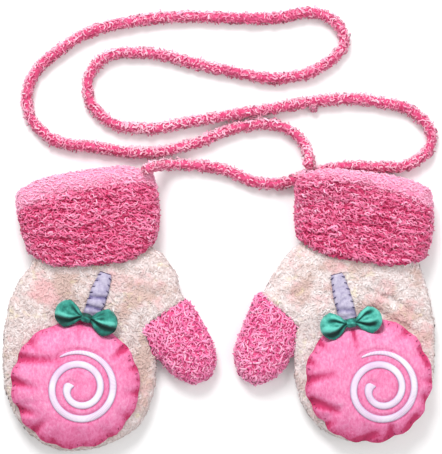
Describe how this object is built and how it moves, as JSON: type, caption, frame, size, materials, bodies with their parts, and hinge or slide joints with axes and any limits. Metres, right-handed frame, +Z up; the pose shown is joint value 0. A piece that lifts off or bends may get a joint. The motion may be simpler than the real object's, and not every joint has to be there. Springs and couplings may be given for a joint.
{
  "type": "pair of baby mittens",
  "caption": "Laid-flat pair of hollow curly-knit mittens with turned-back cuffs, puffed round patches with spirals and bows, joined by a long loose cord.",
  "frame": {"origin": "middle of the pair on the surface it lies on, below the centre of the box round the two mittens without their cord", "axes": "+X from the left mitten to the right one, +Y from the finger tips to the cuffs, +Z up"},
  "size_m": [0.2181, 0.2216, 0.0226],
  "materials": {
    "hand_knit": "short curly cream pile with pink and beige mottling",
    "thumb_knit": "short curly pink pile",
    "cuff_knit": "short curly dark pink pile",
    "plush": "smooth short plush with a soft sheen",
    "satin_thread": "close satin stitch",
    "felt": "matte felt",
    "ribbon": "thin creased cloth",
    "cord_yarn": "fuzzy looped yarn"
  },
  "bodies": {
    "root": {"hand_left": "hand_knit", "hand_right": "hand_knit", "thumb_left": "thumb_knit", "thumb_right": "thumb_knit", "cuff_left": "cuff_knit", "cuff_right": "cuff_knit", "pad_left": "plush", "pad_right": "plush", "swirl_left": "satin_thread", "swirl_right": "satin_thread", "stick_left": "felt", "stick_right": "felt", "bow_left": "ribbon", "bow_right": "ribbon", "knot_left": "ribbon", "knot_right": "ribbon", "neck_cord": "cord_yarn"}
  },
  "joints": []
}
